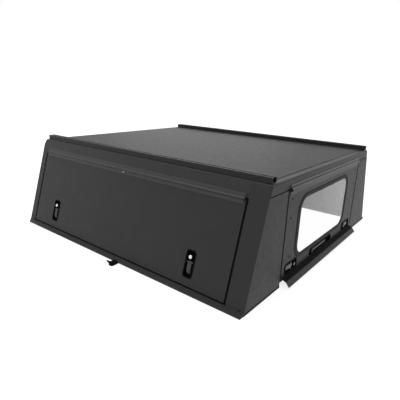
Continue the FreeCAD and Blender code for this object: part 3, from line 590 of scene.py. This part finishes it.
def base_strips():
    work = bmesh.new()
    side_strip = eased(strip_section(SIDE_STRIP), STRIP_ROUND)
    end_strip = eased(strip_section(END_STRIP), STRIP_ROUND)
    lip = eased(REAR_LIP, REAR_LIP_ROUND)

    def along(centre):
        return lambda u, v, run: ((centre + u) * MM, run * MM, v * MM)

    def over(centre):
        return lambda u, v, run: (run * MM, (centre + u) * MM, v * MM)

    for way in (-1, 1):
        extruded(work, side_strip, -SIDE_STRIP_HALF, SIDE_STRIP_HALF, along(way * SIDE_STRIP_X))
        for section, ends in ((end_strip, REAR_STRIP_ENDS), (lip, REAR_LIP_ENDS)):
            extruded(work, section, *(way * end for end in ends), over(REAR_STRIP_Y))
    extruded(work, end_strip, -FRONT_STRIP_HALF, FRONT_STRIP_HALF, over(FRONT_STRIP_Y))
    return meshed(work, "base_strips")


stands_for("base_gasket", base_strips(), HERE)


def tread():
    """Rubber on the slope of the skirt: a thin mat with short ribs in rows, in millimetres."""
    skirt_top, skirt_drop, skirt_reach = 40, 11, 26
    length, mat_width, mat_height = 904, 26.1, 1.7
    rows, pitch, margin, rib = 7, 3.7, 0.2, 2.6
    step, gap, rib_foot, rib_top, slant = 11.3, 2.6, 1.65, 3.5, 0.5
    fall = math.atan(skirt_drop / skirt_reach)

    def place(u, v, run):
        """u runs down the slope and v out of it."""
        return (run * MM, REAR - (u * math.cos(fall) + v * math.sin(fall)) * MM,
                (skirt_top - u * math.sin(fall) + v * math.cos(fall)) * MM)

    work = bmesh.new()
    mat = [(0, 0), (0, mat_height), (mat_width, mat_height), (mat_width, 0)]
    extruded(work, mat, -length / 2, length / 2, place)
    for row in range(rows):
        near = margin + row * pitch
        far = near + rib
        for k in range(int(length / step)):
            start = k * step - length / 2 + gap / 2
            end = start + step - gap
            rings = []
            for v, inset in ((rib_foot, 0), (rib_top, slant)):
                ring = [(near + inset, start + inset), (far - inset, start + inset),
                        (far - inset, end - inset), (near + inset, end - inset)]
                rings.append([work.verts.new(place(u, v, run)) for u, run in ring])
            joined(work, *rings)
            for ring in rings:
                work.faces.new(ring)
    return meshed(work, "tread")


stands_for("rear_skirt_tread", tread(), HERE, TREAD_RUBBER)


# Latches: each with a lock near its upper end, then a paddle on a cross pin. Sizes are in
# millimetres. A paddle's face rises by its crown, or is dished where that is negative, and its
# foot curls inward. The recess is left open for the fingers beyond the foot.

LATCH = {"half": 61, "wide": 25.5, "recess": 0, "crown": 1.5, "curl": 8}
HANDLE = {"half": 145, "wide": 19, "recess": 60, "crown": -3.4, "curl": 0}
EDGE, LOCK_INSET, CLEAR_SHARE, LOCK_RADIUS, PIN_RADIUS, PIN_INSET = 6, 30, 0.35, 9, 2.5, 4.5
# From back to face: the outline's inset as a share of its half width, z, and the crown's share.
PADDLE_LEVELS = ((0.06, -5, 0), (0, -4.5, 0), (0, -0.7, 0), (0.06, 0, 0), (0.14, 0, 0.05),
                 (0.26, 0, 0.4), (0.42, 0, 0.78), (0.6, 0, 1))
# Corner radius as a share of the half width, its least share, and where the curl starts below
# the middle as a share of the half length.
CORNER_SHARE, LEAST_CORNER, CURL_START = 0.75, 0.2, 0.1
CORNER_ANGLES, SIDE_STEPS, PIN_SIDES = range(0, 91, 15), 12, 20
BOSS = 2 * MM


def paddle_outline(wide, tall, radius):
    """Round-cornered outline, up its right side from the middle of the foot and down its left."""
    turns = [(radius * math.sin(math.radians(angle)), radius * math.cos(math.radians(angle)))
             for angle in CORNER_ANGLES]
    half = [(0.0, -tall)]
    half += [(wide - radius + s, -tall + radius - c) for s, c in turns]
    half += [(wide, (tall - radius) * (2 * k / SIDE_STEPS - 1)) for k in range(1, SIDE_STEPS)]
    half += [(wide - radius + c, tall - radius + s) for s, c in turns]
    return half + [(0.0, tall)] + [(-x, y) for x, y in half[:0:-1]]


def paddle_mesh(kind):
    """A paddle in the latch's own frame, with the head up, and its cross pin."""
    clear = CLEAR_SHARE * kind["wide"]
    pivot = kind["half"] - LOCK_INSET - LOCK_RADIUS - clear - 2 * PIN_RADIUS
    low, high = EDGE + clear + kind["recess"] - kind["half"], pivot + 2 * PIN_RADIUS
    tip = kind["wide"] - EDGE - clear
    corner, middle, straight = tip * CORNER_SHARE, (high + low) / 2, (high - low) / 2
    work = bmesh.new()
    loops = []
    for inset, z, share in PADDLE_LEVELS:
        radius = max(corner - tip * inset, LEAST_CORNER * tip)
        loop = []
        for x, y in paddle_outline(tip * (1 - inset), straight - tip * inset, radius):
            along = -(y + CURL_START * straight) / ((1 - CURL_START) * straight)
            sunk = kind["curl"] * max(0, along) ** 2
            loop.append(work.verts.new((x * MM, (middle + y) * MM,
                                        (z + share * kind["crown"] - sunk) * MM)))
        loops.append(loop)
    for first, second in zip(loops, loops[1:]):
        joined(work, first, second)
    count = len(loops[0])
    for loop in (loops[0], loops[-1]):
        for k in range(count // 2):
            ends = [loop[k], loop[k + 1], loop[(count - k - 1) % count], loop[(count - k) % count]]
            work.faces.new(list(dict.fromkeys(ends)))
    reach = kind["wide"] - PIN_INSET
    extruded(work, circle(PIN_RADIUS, PIN_SIDES), -reach, reach,
             lambda u, v, run: (run * MM, (pivot + u) * MM, (v - PIN_RADIUS) * MM))
    return meshed(work, "paddle")


def latch_parts(lock_name, paddle_node, kind, place, body, barrel, pad):
    """The lock and the paddle of one latch, whose bezel stays as in CAD."""
    raised = Matrix.Translation((0, (kind["half"] - LOCK_INSET) * MM, BOSS))
    piece(lock_name, lock_mesh(), place @ raised, body, barrel)
    stands_for(paddle_node, paddle_mesh(kind), place, pad)


# Where things sit, in millimetres; a button screw's size is (radius, height, socket).
LATCH_LIFT = 96
PLUG_SIZE, SCREW_SIZE = (6, 2.2, 3.5), (5, 2.4, 3.4)
STUD_PLACE, PLUG_X, PLUG_HEIGHT = (-50, 428, 2), 733, 16
STUD_PROFILE = [(0, 0), (5.2, 0), (5.2, 1.1), (4.8, 2.1), (3.8, 2.9), (2.2, 3.5), (0, 3.7)]
STUD_STRETCH = 1.8

latch_y = up_slope(DOORWAY_FOOT) + (DOOR_GAP + LATCH_LIFT) * MM
for side, flip in SIDES:
    for end, x in (("front", -551), ("rear", 461)):
        latch_parts(f"{side}_{end}_lock", f"{side}_side_latch_{end}_paddle", LATCH,
                    flip @ left_side(x * MM, latch_y), f"{side}_door", CHROME, DARK_PADDLE)
    stud = flip @ left_side(*(length * MM for length in STUD_PLACE))
    piece(f"{side}_door_stud", lathe(scaled(STUD_PROFILE)),
          stud @ Matrix.Scale(STUD_STRETCH, 4, (1, 0, 0)), f"{side}_door", STUD)
    plug = flip @ left_side(PLUG_X * MM, up_slope(PLUG_HEIGHT))
    piece(f"{side}_foot_plug", button_screw(PLUG_SIZE), plug, "shell", DARK_SCREW)

for name, x, y, turn, kind, barrel, pad in (
        ("rear_latch_left", -368, 70, -90, LATCH, DULL_LOCK, None),
        ("rear_latch_right", 368, 70, 90, LATCH, DULL_LOCK, None),
        ("rear_handle", -12, 63, 90, HANDLE, DARK_LOCK, HANDLE_PADDLE)):
    turned = Matrix.Rotation(math.radians(turn), 4, "Z")
    latch_parts(f"{name}_lock", f"{name}_paddle", kind, rear_face(x * MM, y * MM) @ turned,
                "rear_door", barrel, pad)

for side, way in (("left", -1), ("right", 1)):
    for level, x, y in (("upper", 420, 397), ("middle", 420, 311), ("lower", 400, 128)):
        piece(f"rear_{side}_{level}_screw", button_screw(SCREW_SIZE),
              rear_face(way * x * MM, y * MM), "rear_door", DARK_SCREW)


# Caps on the ends of the hinge profiles: a round head and a tail down the door, in millimetres.

CAP_RADIUS, CAP_ROUND = 5.9, 0.6
CAP = [(CAP_RADIUS * math.cos(math.radians(angle)), CAP_RADIUS * math.sin(math.radians(angle)))
       for angle in range(60, 265, 12)]
CAP += [(1, -6.2), (21.6, -6.2), (21.6, -4.2), (9.4, -4.0), (9.4, 1.0), (7.6, 3.2)]
HINGE_OUT, HINGE_RISE = 6.5, 2
REAR_HINGE_LINE = REAR_DOORWAY_TOP - DOOR_GAP + HINGE_RISE


def end_cap(start, end):
    work = bmesh.new()
    section = eased(CAP, CAP_ROUND)
    extruded(work, section, start, end, lambda u, v, run: (run * MM, u * MM, v * MM))
    return meshed(work, "cap")


hinge_line = DOORWAY_TOP / math.cos(TILT) - DOOR_GAP + HINGE_RISE
for side, flip in SIDES:
    for end, start, stop in (("front", -743, -737.3), ("rear", 654.3, 660)):
        piece(f"{side}_hinge_{end}_cap", end_cap(start, stop),
              flip @ left_side(0, hinge_line * MM, HINGE_OUT * MM), "shell",
              HINGE_CAP)
for end, start, stop in (("left", -457, -450.3), ("right", 450.3, 457)):
    piece(f"rear_hinge_{end}_cap", end_cap(start, stop),
          rear_face(0, REAR_HINGE_LINE * MM, HINGE_OUT * MM), "shell", HINGE_CAP)


# Floor, light and camera.

FLOOR_GLOW, FLOOR_REACH, FLOOR_DROP = 0.8, 30, 0.3 * MM
ROOM_LIGHT = 0.32


def studio_floor_look():
    """Pale paper with the shadow kept.

    It glows towards the camera until it looks white, and mirrors and glass see it plain white.
    """
    made, tree, shader, place = nodes_of("floor_paper")
    paper = ramp(tree, noise(tree, place, 1.5, 2.0), (0.82, 0.82, 0.82), (0.86, 0.86, 0.86))
    tree.links.new(paper, shader.inputs["Base Color"])
    shader.inputs["Roughness"].default_value = 0.9
    path = tree.nodes.new("ShaderNodeLightPath")
    lit, plain = tree.nodes.new("ShaderNodeEmission"), tree.nodes.new("ShaderNodeEmission")
    share = tree.nodes.new("ShaderNodeMath")
    share.operation = "MULTIPLY"
    share.inputs[1].default_value = FLOOR_GLOW
    tree.links.new(path.outputs["Is Camera Ray"], share.inputs[0])
    tree.links.new(share.outputs[0], lit.inputs["Strength"])
    both = tree.nodes.new("ShaderNodeAddShader")
    tree.links.new(shader.outputs["BSDF"], both.inputs[0])
    tree.links.new(lit.outputs["Emission"], both.inputs[1])
    bounced = any_of(tree, path.outputs["Is Transmission Ray"], path.outputs["Is Glossy Ray"])
    surface = mixed(tree, bounced, both.outputs["Shader"], plain.outputs["Emission"])
    tree.links.new(surface, tree.nodes["Material Output"].inputs["Surface"])
    return made


ground = bpy.data.meshes.new("ground")
corners = [(x * FLOOR_REACH, y * FLOOR_REACH, -FLOOR_DROP)
           for x, y in ((-1, -1), (1, -1), (1, 1), (-1, 1))]
ground.from_pydata(corners, [], [(0, 1, 2, 3)])
ground.materials.append(studio_floor_look())
floor = bpy.data.objects.new("studio_floor", ground)
bpy.context.scene.collection.objects.link(floor)

# The camera, mirrors and glass see a white room, and surfaces get a dimmer light from it.
world = bpy.data.worlds.new("studio")
bpy.context.scene.world = world
world.use_nodes = True
tree = world.node_tree
tree.nodes.clear()
path = tree.nodes.new("ShaderNodeLightPath")
room, backdrop = (tree.nodes.new("ShaderNodeBackground") for _ in range(2))
for background, strength in ((room, ROOM_LIGHT), (backdrop, 1.0)):
    background.inputs["Strength"].default_value = strength
    background.inputs["Color"].default_value = (1, 1, 1, 1)
seen = any_of(tree, path.outputs["Is Camera Ray"], path.outputs["Is Transmission Ray"])
mirrored = any_of(tree, seen, path.outputs["Is Glossy Ray"])
sky = mixed(tree, mirrored, room.outputs["Background"], backdrop.outputs["Background"])
tree.links.new(sky, tree.nodes.new("ShaderNodeOutputWorld").inputs["Surface"])


def lamp(name, place, target, size, power):
    """A soft rectangular lamp that faces a target."""
    data = bpy.data.lights.new(name, "AREA")
    data.shape = "RECTANGLE"
    data.size, data.size_y = size
    data.energy = power
    made = bpy.data.objects.new(name, data)
    bpy.context.scene.collection.objects.link(made)
    made.location = place
    aim = Vector(target) - Vector(place)
    made.rotation_euler = aim.to_track_quat("-Z", "Y").to_euler()


lamp("overhead", (-0.8, 0.6, 3.2), (0, 0, 0.3), (2.6, 2.6), 30)
lamp("front_right", (3.4, 2.8, 1.6), (0, 0, 0.5), (3.0, 2.0), 16)

# The camera stands as the photograph's did; its turn is in degrees.
SENSOR, LENS = 36, 33.80
CAMERA_PLACE = (-1.84364, -1.37628, 0.83509)
CAMERA_TURN = (73.04256511, -1.99171841, -51.48305937)
lens = bpy.data.cameras.new("camera")
lens.sensor_width = SENSOR
lens.lens = LENS
camera = bpy.data.objects.new("camera", lens)
bpy.context.scene.collection.objects.link(camera)
camera.location = CAMERA_PLACE
camera.rotation_euler = [math.radians(angle) for angle in CAMERA_TURN]
bpy.context.scene.camera = camera
bpy.context.scene.view_settings.view_transform = "Standard"
